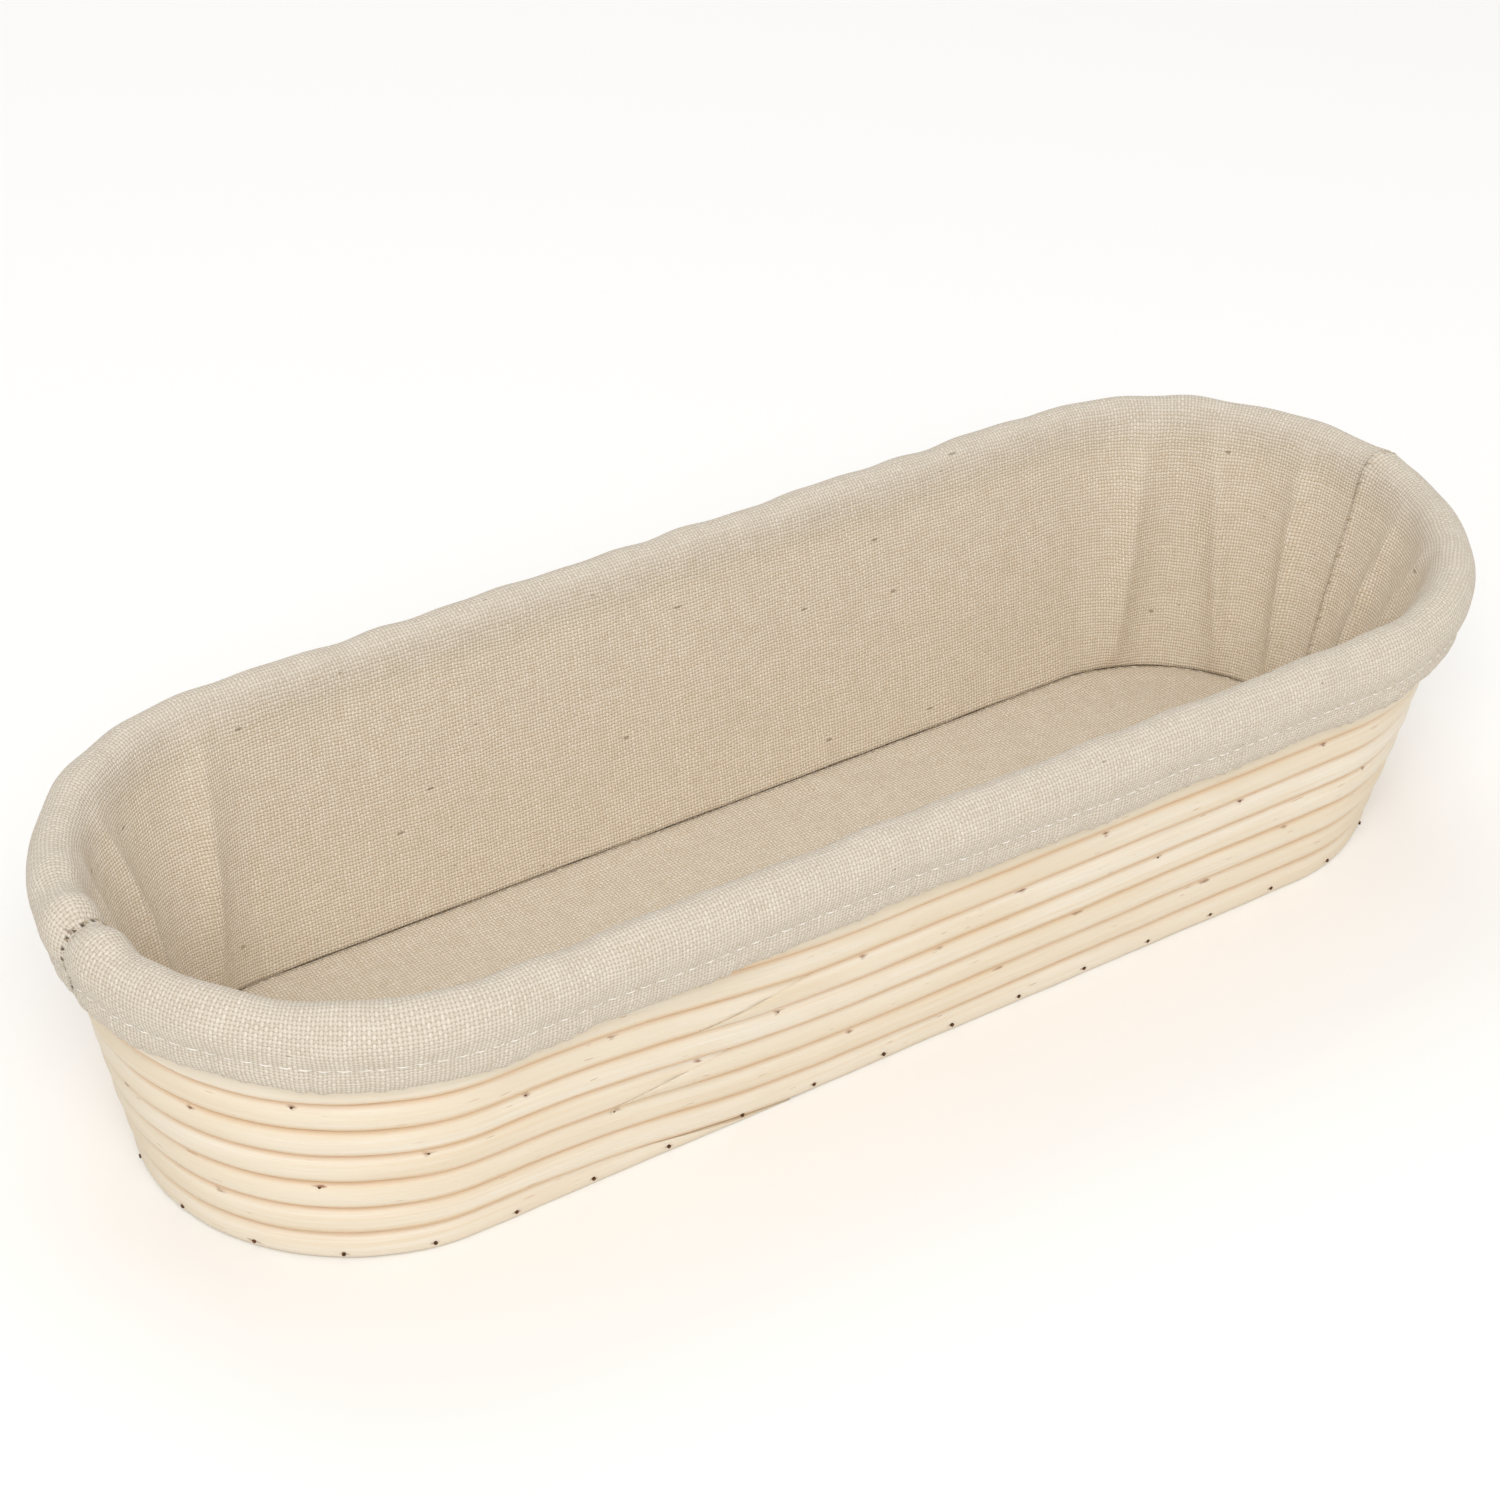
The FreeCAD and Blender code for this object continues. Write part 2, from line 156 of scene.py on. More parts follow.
# the coil's line: inner lower edge of the cane, outward direction, level, and which stretch each point is on
def coilLine():
    c, step = wall["endCentre"], wall["step"]
    place, outward, level, kind, turn = [], [], [], [], []

    def add(x, y, ox, oy, at, name, number):
        place.append((x, y))
        outward.append((ox, oy))
        level.append(at)
        kind.append(name)
        turn.append(number)

    def radius(at):
        return wall["coreRadius"] + wall["flare"] * at

    for k in range(wall["turns"] + 1):
        for x in np.arange(wall["rampStart"], wall["rampEnd"], -step):
            if 0 < k < wall["turns"]:
                at = k - 1 + float(np.interp(-x, -rampX, rampShare))
            else:
                at = 0.0 if k == 0 else k - 1.0
            add(x, -radius(at), 0, -1, at, "ramp", k - 1)
        if k == wall["turns"]:
            break
        r = radius(k)
        for x in np.arange(wall["rampEnd"], -c, -step):
            add(x, -r, 0, -1, k, "front", k)
        for a in np.radians(np.arange(270, 90, -math.degrees(step / (r + 4)))):
            add(-c + r * math.cos(a), r * math.sin(a), math.cos(a), math.sin(a), k, "left", k)
        for x in np.arange(-c, c, step):
            add(x, r, 0, 1, k, "back", k)
        for a in np.radians(np.arange(90, -90, -math.degrees(step / (r + 4)))):
            add(c + r * math.cos(a), r * math.sin(a), math.cos(a), math.sin(a), k, "right", k)
        for x in np.arange(c, wall["rampStart"], -step):
            add(x, -r, 0, -1, k, "front", k)
    return np.array(place), np.array(outward), np.array(level), np.array(kind), np.array(turn)


# points round a cane's section: u outward, v up, and the way round in mm
def caneSection(width, height, squareness, count):
    a = np.linspace(0, 2 * np.pi, count, endpoint=False) + np.pi / 2
    power = 2 / squareness
    u = width / 2 * (1 + np.sign(np.cos(a)) * np.abs(np.cos(a)) ** power)
    v = height / 2 * (1 + np.sign(np.sin(a)) * np.abs(np.sin(a)) ** power)
    way = np.concatenate([[0], np.cumsum(np.hypot(np.diff(np.append(u, u[0])), np.diff(np.append(v, v[0]))))])
    return u, v, way


# a length of cane along part of a line, its section cut between floorCut and topCut
def caneLength(name, place, outward, base, along, spec, floorCut, topCut, seed, widths=None):
    u, v, way = caneSection(1.0, 1.0, spec["squareness"], spec["sectionPoints"])
    widths = np.full(len(place), spec["width"]) if widths is None else widths
    u = u[None, :] * widths[:, None]
    tall = spec["height"] * (1 + wander(along, (41, 97, 160), 0.012, seed + 1))[:, None]
    low = (spec["height"] - tall) / 2
    v = v[None, :] * tall + low
    if spec["flat"]:
        # painted shade: darker towards the rows beside it
        grooveShade = np.abs(u / widths[:, None] - 0.5) * 2
    else:
        # painted shade: darker towards the turns above and below, but not where the cane is cut thin, nor under
        # the foot or on the rim
        thin = smoothStep(0.1, 0.9, (topCut - floorCut) / spec["height"])[:, None]
        z = base[:, None] + v
        shut = smoothStep(0.2, 2.5, z) * smoothStep(0.2, 2.5, spec["pitch"] * spec["turns"] - z)
        grooveShade = np.abs(v / spec["height"] - 0.5) * 2 * (0.4 + 0.6 * thin) * (0.45 + 0.55 * shut)
    v = np.clip(v, floorCut[:, None], topCut[:, None])
    # where it is cut, the section keeps its own width at that height
    wide = widths[:, None]
    upright = np.abs(np.clip((v - low) / tall, 0, 1) * 2 - 1)
    bulge = (1 - upright ** spec["squareness"]) ** (1 / spec["squareness"]) * wide / 2
    u = wide / 2 + np.clip(u - wide / 2, -bulge, bulge)
    push = wander(along, (63, 118, 205), spec["wander"], seed) + wander(along, (17, 29), 0.06, seed + 2)
    crown = 1 - (1 - spec["frontCrown"]) * smoothStep(0.9, 1.0, -outward[:, 1])
    u = np.where(u > wide / 2, wide - (wide - u) * crown[:, None], u) + push[:, None]
    points = np.empty(u.shape + (3,))
    points[..., 0] = place[:, None, 0] + outward[:, None, 0] * u
    points[..., 1] = place[:, None, 1] + outward[:, None, 1] * u
    points[..., 2] = base[:, None] + v
    scale = 2 * (spec["width"] + spec["height"]) * 0.88 / way[-1]    # rounding takes off the corners
    gridU = np.repeat(along[:, None], u.shape[1] + 1, 1)
    gridV = np.repeat(way[None, :] * scale + 40.0 * (seed % 7), len(place), 0)
    tone = np.full(u.shape, (seed * 0.37) % 1.0)
    return gridMesh(name, points, gridU, gridV, wrap=True, capped=True, values={"grooveShade": grooveShade, "tone": tone})


def buildWall():
    place, outward, level, kind, turn = coilLine()
    along = distanceAlong(place)
    base = level * wall["pitch"]
    full = wall["height"]
    jointAt = []
    for name, k, x in wall["joints"]:
        found = np.flatnonzero((kind == name) & (turn == k))
        jointAt.append(along[min(found, key=lambda i: abs(place[i, 0] - x))])
    half = wall["scarf"] / 2
    starts, ends = [-farOff] + jointAt, jointAt + [farOff]
    # the thin start under the first climb and the thin finish over the last
    climbed = np.interp(-place[:, 0], -rampX, rampShare) * wall["pitch"]
    first = (kind == "ramp") & (turn == -1)
    last = (kind == "ramp") & (turn == wall["turns"] - 1)
    made = []
    for number, (low, high) in enumerate(zip(starts, ends), 1):
        chosen = (along > low - half) & (along < high + half)
        top = np.where(first, np.maximum(climbed - 0.1, 0.0), full)
        floor = np.where(last, np.minimum(climbed, full), 0.0)
        chosen &= (top > wall["thinnest"]) & (floor < full - wall["thinnest"])
        gap = wall["scarfGap"]
        top = np.minimum(top, np.interp(along, [high - half, high + half], [full, gap]))
        floor = np.maximum(floor, np.interp(along, [low - half, low + half], [full - gap, 0.0]))
        i = np.flatnonzero(chosen)
        made.append(caneLength("wallCane%d" % number, place[i], outward[i], base[i], along[i], wall,
                               floor[i], top[i], wall["seed"] + number))
    return made


wallCanes = buildWall()
for number, length in enumerate(wallCanes, 1):
    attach(length, "basket")
    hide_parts("wall_cane_%d" % number)
print("wall canes:", len(wallCanes))


# The base: a straight core and two lengths of cane coiled flat round it

base = {
    "rows": 5,
    "edge": 43.8,          # mm, the last row's outer radius at the ends
    "gap": 0.1,
    "height": 6.8,
    "lift": 0.6,
    "flat": True,          # the rows lie beside each other
    "frontCrown": 1.0,
    "squareness": 3.0,
    "sectionPoints": 22,
    "width": 7.8636,       # a row's pitch less the gap
    "step": 2.2,
    "jointRow": 3,
    "jointPlace": -30.0,
    "scarf": 36.0,
    "scarfGap": 0.2,
    "tailEnd": -49.0,      # degrees round the right end, where the last row tapers out
    "thinnest": 0.6,
    "coreGap": 0.15,       # between the core's right end and the first bend
    "wander": 0.05,
    "seed": 40,
}


# the flat coil's line: a row's middle, outward direction and width, from the core's right end to the tail
def baseLine():
    c, step, pitch = wall["endCentre"], base["step"], base["edge"] / (base["rows"] + 0.5)
    rows = []

    def bend(x, y, r, a, wide, row):
        ox, oy = math.cos(a), math.sin(a)
        rows.append((x + r * ox, y + r * oy, ox, oy, wide, row))

    for a in np.radians(np.arange(90, -90, -12)):
        bend(c, -pitch / 2, pitch / 2, a, pitch, 0)
    for m in range(1, base["rows"] + 1):
        for x in np.arange(c, -c, -step):
            rows.append((x, -m * pitch, 0, -1, pitch, m))
        for a in np.radians(np.arange(270, 90, -math.degrees(step / (m * pitch + 2)))):
            bend(-c, 0, m * pitch, a, pitch, m)
        for x in np.arange(-c, c, step):
            rows.append((x, m * pitch, 0, 1, pitch, m + 0.5))
        if m < base["rows"]:
            for a in np.radians(np.arange(90, -90, -math.degrees(step / (m * pitch + 6)))):
                bend(c, -pitch / 2, (m + 0.5) * pitch, a, pitch, m)
    # the tail fills what is left inside the edge
    last = base["rows"] * pitch
    for a in np.radians(np.arange(90, base["tailEnd"], -2.5)):
        inner = -pitch / 2 * math.sin(a) + math.sqrt(last ** 2 - (pitch / 2 * math.cos(a)) ** 2)
        bend(c, 0, (inner + base["edge"]) / 2, a, base["edge"] - inner, base["rows"])
    return np.array(rows)


def buildBase():
    line = baseLine()
    along = distanceAlong(line[:, :2])
    widths = np.maximum(line[:, 4] - base["gap"], base["thinnest"])
    inner = line[:, :2] - line[:, 2:4] * widths[:, None] / 2
    found = np.flatnonzero(line[:, 5] == base["jointRow"] + 0.5)
    joint = along[min(found, key=lambda i: abs(line[i, 0] - base["jointPlace"]))]
    half, full, gap = base["scarf"] / 2, base["height"], base["scarfGap"]
    made = []
    for name, low, high in (("baseCaneInner", -farOff, joint), ("baseCaneOuter", joint, farOff)):
        i = np.flatnonzero((along > low - half) & (along < high + half))
        top = np.interp(along[i], [high - half, high + half], [full, gap])
        floor = np.interp(along[i], [low - half, low + half], [full - gap, 0.0])
        made.append(caneLength(name, inner[i], line[i, 2:4], np.full(len(i), base["lift"]), along[i], base,
                               floor, top, base["seed"] + len(made), widths[i]))
    # the core: a straight rod, rounded at its left end
    c, wide = wall["endCentre"], base["width"]
    tip = -c - wide / 2 * np.cos(np.linspace(0.25, np.pi / 2, 7))
    x = np.concatenate([tip, np.arange(-c + 2, c - 0.2, 4), [c - base["coreGap"]]])
    widths = np.where(x < -c, 2 * np.sqrt(np.maximum((wide / 2) ** 2 - (x + c) ** 2, 0.2)), wide)
    place = np.stack([x, -widths / 2], 1)
    count = len(x)
    made.append(caneLength("baseCore", place, np.tile([0.0, 1.0], (count, 1)), np.full(count, base["lift"]),
                           x + 200, base, np.zeros(count), np.full(count, full), base["seed"] + 5, widths))
    return made


baseCanes = buildBase()
for length, node in zip(baseCanes, ("base_cane_inner", "base_cane_outer", "base_core_strip")):
    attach(length, "basket")
    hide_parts(node)
print("base canes:", len(baseCanes))


# Rust that has bled from the brads into the cane round each head

stain = {
    "reach": 1.15,         # mm across the grain
    "alongGrain": 2.4,     # times further along it
    "solid": 0.2,
}


# the outer end of every brad of a node, from its separate solids
def bradHeads(node):
    mesh = bpy.data.objects[node].data
    points = np.array([v.co for v in mesh.vertices])
    parent = np.arange(len(points))

    def root(i):
        while parent[i] != i:
            parent[i] = parent[parent[i]]
            i = parent[i]
        return i

    same = {}
    for i, p in enumerate(np.round(points, 6)):
        j = same.setdefault(tuple(p), i)
        parent[root(i)] = root(j)
    for edge in mesh.edges:
        parent[root(edge.vertices[0])] = root(edge.vertices[1])
    groups = {}
    for i in range(len(points)):
        groups.setdefault(root(i), []).append(i)
    heads = []
    for members in groups.values():
        group = points[members]
        reach = np.hypot(np.maximum(np.abs(group[:, 0]) - wall["endCentre"] * mm, 0), group[:, 1])
        heads.append(group[reach > reach.max() - 0.4 * mm].mean(0))
    return heads


def paintStains(canes, heads):
    tree = KDTree(len(heads))
    for i, head in enumerate(heads):
        tree.insert(head, i)
    tree.balance()
    for cane in canes:
        points = np.array([v.co for v in cane.data.vertices])
        value = []
        for p in points:
            head = tree.find(p)[0]
            away = (np.array(head) - p) / mm
            value.append(math.hypot(away[0] / stain["alongGrain"], away[1] / stain["alongGrain"], away[2]))
        value = 1 - smoothStep(stain["solid"], stain["reach"], np.array(value))
        cane.data.attributes.new("rust", "FLOAT", "POINT").data.foreach_set("value", value.astype(np.float32))


paintStains(wallCanes, bradHeads("wall_brads") + bradHeads("base_edge_brads"))
paintStains(baseCanes, bradHeads("base_cross_brads"))
print("brad stains painted")


# The liner: front and back wall panels, a floor panel, and an elastic hem turned down over the rim

liner = {
    "cloth": 0.62,         # mm, the linen's thickness
    "floorHeight": 8.15,
    "puff": 0.5,           # the floor swells beside its seam
    "floorRadius": 44.2,
    "floorStep": 2.2,
    "floorRings": 24,
    # the cloth's middle from the floor seam, up the inside, over the rim and down to the hem's turned-up edge
    "profile": [(44.4, 8.3), (44.2, 9.2), (44.7, 10.9), (51.5, 43.5), (56.4, 68.0), (57.1, 72.8),
                (58.2, 76.2), (59.9, 78.3), (62.2, 79.1), (64.7, 78.7), (66.9, 76.9), (68.1, 73.9),
                (68.3, 71.2), (67.7, 68.6), (66.8, 66.4), (66.7, 65.2), (66.4, 62.8), (65.5, 60.4),
                (64.6, 59.1), (63.9, 58.6), (63.4, 59.3), (63.7, 61.8), (64.6, 64.2), (65.6, 66.2),
                (65.85, 67.4)],
    "rounding": 2.6,       # how softly the profile bends
    "stitchLine": 66.4,    # height of the hem's stitching
    "acrossStep": 1.1,
    "alongStep": 1.2,
    "lap": 0.8,            # each wall panel runs this far past the end seams, over the other
    "gather": 0.75,        # how far the elastic puckers the hem
    "hemWave": 0.9,        # how unevenly the hem hangs
    "nominalRadius": 60.0,    # distances round the ends are measured at this radius
    "foldFoot": 9.0,       # folds and slack start this high
    "foldRise": 67.0,      # and end this much higher
    "foldRadius": 54.0,
    "foldReach": 25.0,     # how far they run on to the straight sides
    "seed": 5,
}
# folds of slack cloth inside: angle round the end from the seam, end (-1 left, 1 right), depth, width and lean
linerFolds = [(-66, -1, 4.4, 6, 9), (-40, -1, 4.2, 4, -8), (-18, -1, 3.4, 3.5, 6), (20, -1, 4.6, 4.5, -8),
              (47, -1, 5.0, 5, 7), (78, -1, 5.0, 7, -10), (-62, 1, 4.0, 5, -8), (-34, 1, 5.0, 4, 10),
              (-15, 1, 3.8, 2.8, 5), (16, 1, 4.8, 3.4, -6), (38, 1, 4.6, 3.8, -10), (66, 1, 5.0, 6, 9)]


# the profile as evenly spaced points with their distance along it
def smoothProfile(points, rounding, step):
    p = np.array(points)
    d = distanceAlong(p)
    fine = np.arange(0, d[-1], 0.25)
    q = np.stack([np.interp(fine, d, p[:, i]) for i in (0, 1)], 1)
    n = int(rounding / 0.25) | 1
    kernel = np.hanning(n + 2)[1:-1]
    padded = np.pad(q, ((n // 2, n // 2), (0, 0)), mode="reflect", reflect_type="odd")
    q = np.stack([np.convolve(padded[:, i], kernel / kernel.sum(), mode="valid") for i in (0, 1)], 1)
    d = distanceAlong(q)
    even = np.linspace(0, d[-1], int(d[-1] / step) + 1)
    return np.stack([np.interp(even, d, q[:, i]) for i in (0, 1)], 1), even


# outline of one half, from the left seam to the right: end centre, direction and distance
def halfOutline(side, step, lap=0.0):
    c, r = wall["endCentre"], liner["nominalRadius"]
    turns = np.linspace(-lap / r, np.pi / 2, int(r * np.pi / 2 / step) + 1)
    xs = np.linspace(-c, c, int(2 * c / step) + 1)[1:-1]
    centre = np.concatenate([np.full(len(turns), -c), xs, np.full(len(turns), c)])
    ox = np.concatenate([-np.cos(turns), np.zeros(len(xs)), np.cos(turns[::-1])])
    oy = side * np.concatenate([np.sin(turns), np.ones(len(xs)), np.sin(turns[::-1])])
    s = np.concatenate([turns * r, turns[-1] * r + (xs + c), turns[-1] * r + 2 * c + (turns + lap / r) * r])
    return centre, ox, oy, s


# both halves as one loop, ending where it starts: end centre and direction
def fullOutline(step):
    front, back = halfOutline(-1, step), halfOutline(1, step)
    return [np.concatenate([f[:-1], b[::-1]]) for f, b in zip(front[:3], back[:3])]


# how far slack folds push the cloth into the basket, by place round the end and height
def foldDepth(centre, ox, oy, z):
    depth, c = np.zeros((len(centre), len(z))), wall["endCentre"]
    high = np.clip((z - liner["foldFoot"]) / liner["foldRise"], 0, 1)
    for angle, end, deep, wide, tilt in linerFolds:
        here = np.degrees(np.arctan2(oy, ox * end))
        onEnd = centre * end > c - liner["foldReach"]
        run = np.where(np.abs(centre) < c, c - centre * end, 0.0)
        around = (here - angle)[:, None] * np.radians(1) * liner["foldRadius"] + np.sign(angle) * run[:, None]
        gap = around + tilt * (high - 0.5)[None, :]
        shape = np.exp(-np.abs(gap / wide) ** 1.25) * np.sin(np.pi * high ** 0.8)[None, :] ** 0.7
        depth += deep * shape * onEnd[:, None]
    return depth


def linerWall(name, side, seed):
    profile, t = smoothProfile(liner["profile"], liner["rounding"], liner["acrossStep"])
    centre, ox, oy, s = halfOutline(side, liner["alongStep"], liner["lap"])
    r, z = profile[None, :, 0], profile[None, :, 1]
    rise = np.gradient(profile, axis=0)
    rise /= np.hypot(*rise.T)[:, None]
    # into the basket on the inside, upward on the rim, outward outside
    normal = np.stack([-rise[:, 1], rise[:, 0]], 1)
    tTop = t[np.argmax(profile[:, 1])]
    inner = t < tTop
    folds = foldDepth(centre, ox, oy, np.where(inner, profile[:, 1], 8.0))
    bow = np.sin(np.pi * np.clip((z - liner["foldFoot"]) / 65, 0, 1))
    slack = 0.5 * (1 + wander(s, (38, 71, 140), 0.9, seed)[:, None]) * bow
    lift = np.where(inner[None, :], folds + slack, 0.0)
    # the hem: puckered by the elastic, deepest along the stitching and the fold
    down = smoothStep(75.0, 60.5, profile[:, 1])[None, :] * (~inner)[None, :]
    pucker = wander(s, (6.1, 8.7, 12.9), liner["gather"], seed + 1)[:, None]
    soft = wander(s, (33, 57, 96), 0.7, seed + 2)[:, None]
    outerLayer = (t < t[np.argmin(np.where(inner, 99, profile[:, 1]))])[None, :] | inner[None, :]
    pinch = 1 - 0.55 * np.exp(-((z - liner["stitchLine"]) / 1.6) ** 2)
    lift = lift + np.where(outerLayer, down * (np.abs(pucker) * pinch + 0.25 * np.abs(soft)), 0.0)
    roll = np.exp(-((z - 74.5) / 6.0) ** 2) * (~inner)[None, :]
    lift = lift + roll * (0.35 + wander(s, (24, 47, 83), 0.35, seed + 3)[:, None])
    # at the end seams the panels turn in to each other; inside, the front's edge lies on the back's
    fromSeam = np.minimum(s, s[-1] - liner["lap"] - s)[:, None]
    over = 0.95 if side < 0 else -0.35
    insideEdge, outsideEdge = over * np.exp(-(fromSeam / 1.6) ** 2), -0.5 * np.exp(-(fromSeam / 1.3) ** 2)
    lift = lift + np.where(inner[None, :], insideEdge, outsideEdge)
    # the cloth bunches on the rim beside the left seam, and a little at the right
    nearRim = np.exp(-((t - tTop) / 9.0) ** 2)[None, :]
    leftEnd = (s < s[-1] / 2)[:, None]
    lumps = np.where(leftEnd, -1.5 * np.exp(-(fromSeam / 2.4) ** 2) + 1.3 * np.exp(-((fromSeam - 7) / 3.6) ** 2)
                     - 0.7 * np.exp(-((fromSeam - 15) / 4.0) ** 2), 0.9 * np.exp(-(fromSeam / 2.6) ** 2))
    lift = lift + nearRim * (lumps + wander(s, (19, 31, 54), 0.5, seed + 6)[:, None])
    hang = down * wander(s, (44, 83, 150), liner["hemWave"], seed + 4)[:, None]
    rr = r + normal[None, :, 0] * lift
    zz = z + normal[None, :, 1] * lift + hang
    points = np.stack([centre[:, None] + ox[:, None] * rr, oy[:, None] * rr, zz], 2)
    # cloth distances: along the half from its middle, and up the profile
    gridU = (s - s[-1] / 2)[:, None] + 0 * r
    gridV = np.repeat(t[None, :], len(s), 0)
    # painted warm shade and bounce light inside the basket, fading out before the top of the rim; it also keeps
    # the needle holes to the outside
    insideWarmShade = np.repeat(1 - smoothStep(tTop - 16, tTop - 1, t)[None, :], len(s), 0)
    # only the left seam shows its needle holes, so the right half counts as far from a seam
    seamAway = np.repeat(np.where(leftEnd, fromSeam, 50.0) * mm, len(t), 1)
    made = gridMesh(name, points, gridU, gridV, values={"insideWarmShade": insideWarmShade, "fromSeam": seamAway})
    return made, t[-1], s[-1]


def linerFloor(name):
    rMax = liner["floorRadius"]
    centre, ox, oy = [values[:-1] for values in fullOutline(liner["floorStep"])]
    r = np.linspace(rMax, 0.0, liner["floorRings"])[:, None]
    x, y = centre[None, :] + ox[None, :] * r, oy[None, :] * r
    crown = 0.5 * smoothStep(0.0, 20.0, rMax - r) + liner["puff"] * np.exp(-((rMax - r - 4) / 2.6) ** 2)
    wave = wander(x + 0.4 * y, (52, 91), 0.3, 3) * smoothStep(0.0, 14.0, rMax - r)
    z = liner["floorHeight"] + crown + np.abs(wave)
    points = np.stack([x, y, z + 0 * x], 2)
    gridU = np.concatenate([x, x[:, :1]], 1)
    gridV = np.concatenate([y, y[:, :1]], 1) + 300
    zero = np.zeros_like(x)
    # the whole floor takes the inside's painted warm shade
    made = gridMesh(name, points, gridU, gridV, wrap=True, values={"insideWarmShade": zero + 1, "fromSeam": zero + 0.05})
    # the front and back meet along the middle, and are joined there
    joined = bmesh.new()
    joined.from_mesh(made.data)
    bmesh.ops.remove_doubles(joined, verts=joined.verts, dist=0.01 * mm)
    joined.to_mesh(made.data)
    joined.free()
    return made


def thicken(cloth):
    change = cloth.modifiers.new("clothThickness", "SOLIDIFY")
    change.thickness = liner["cloth"] * mm
    change.offset = 0


linerFront, wallCut, halfCut = linerWall("linerWallFront", -1, liner["seed"])
linerBack = linerWall("linerWallBack", 1, liner["seed"] + 20)[0]
linerBase = linerFloor("linerFloor")
panels = (linerFront, linerBack, linerBase)
for cloth, node in zip(panels, ("liner_wall_front", "liner_wall_back", "liner_base_panel")):
    thicken(cloth)
    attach(cloth, "liner")
    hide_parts(node)
print("liner panels built")


# Stitches: short lengths of thread that dip into the cloth at both ends

stitch = {
    "hem": {"pitch": 4.0, "length": 3.0, "radius": 0.15},
    "end": {"pitch": 2.6, "length": 1.9, "radius": 0.17},
    "floor": {"pitch": 3.6, "length": 2.6, "radius": 0.18},
    "rings": 6,
    "sides": 6,
}


# a row of stitches of one size at points in mm, each with a direction and an outward normal
def stitchRow(name, places, directions, normals, size):
    verts, faces, rings, sides = [], [], stitch["rings"], stitch["sides"]
    long, radius = size["length"], size["radius"]
    for p, d, n in zip(places, directions, normals):
        across = np.cross(d, n)
        first = len(verts)
        for i in range(rings):
            w = i / (rings - 1)
            thick = radius * (0.55 + 0.45 * math.sin(math.pi * w))
            middle = p + d * (w - 0.5) * long + n * (radius * (1.5 * math.sin(math.pi * w) - 0.55))
            for j in range(sides):
                a = 2 * math.pi * j / sides
                verts.append((middle + (across * math.cos(a) + n * math.sin(a)) * thick) * mm)
        for i in range(rings - 1):
            low, high = first + i * sides, first + (i + 1) * sides
            for j in range(sides):
                k = (j + 1) % sides
                faces.append([low + j, low + k, high + k, high + j])
        faces.append([first + j for j in range(sides)][::-1])
        faces.append([first + (rings - 1) * sides + j for j in range(sides)])
    mesh = bpy.data.meshes.new(name)
    mesh.from_pydata(verts, [], faces)
    mesh.polygons.foreach_set("use_smooth", [True] * len(faces))
    made = bpy.data.objects.new(name, mesh)
    scene.collection.objects.link(made)
    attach(made, "liner")
    return made


# the cloth's own points and outward normals, so that stitches follow its puckers
def clothGrid(cloth, rows):
    points = np.array([v.co for v in cloth.data.vertices]) / mm
    points = points.reshape(rows, -1, 3)
    ds, dt = np.gradient(points, axis=0), np.gradient(points, axis=1)
    normal = np.cross(ds, dt)
    return points, normal / np.linalg.norm(normal, axis=2)[..., None]


# even distances along a line, and the distance at each of its points
def evenAlong(line, pitch):
    d = np.concatenate([[0], np.cumsum(np.linalg.norm(np.diff(line, axis=0), axis=1))])
    at = np.arange(pitch / 2, d[-1] - pitch / 2, pitch)
    return at, d


def pointAt(a, d, line):
    return np.array([np.interp(a, d, line[:, i]) for i in range(3)])


def unit(vector):
    return vector / np.linalg.norm(vector)


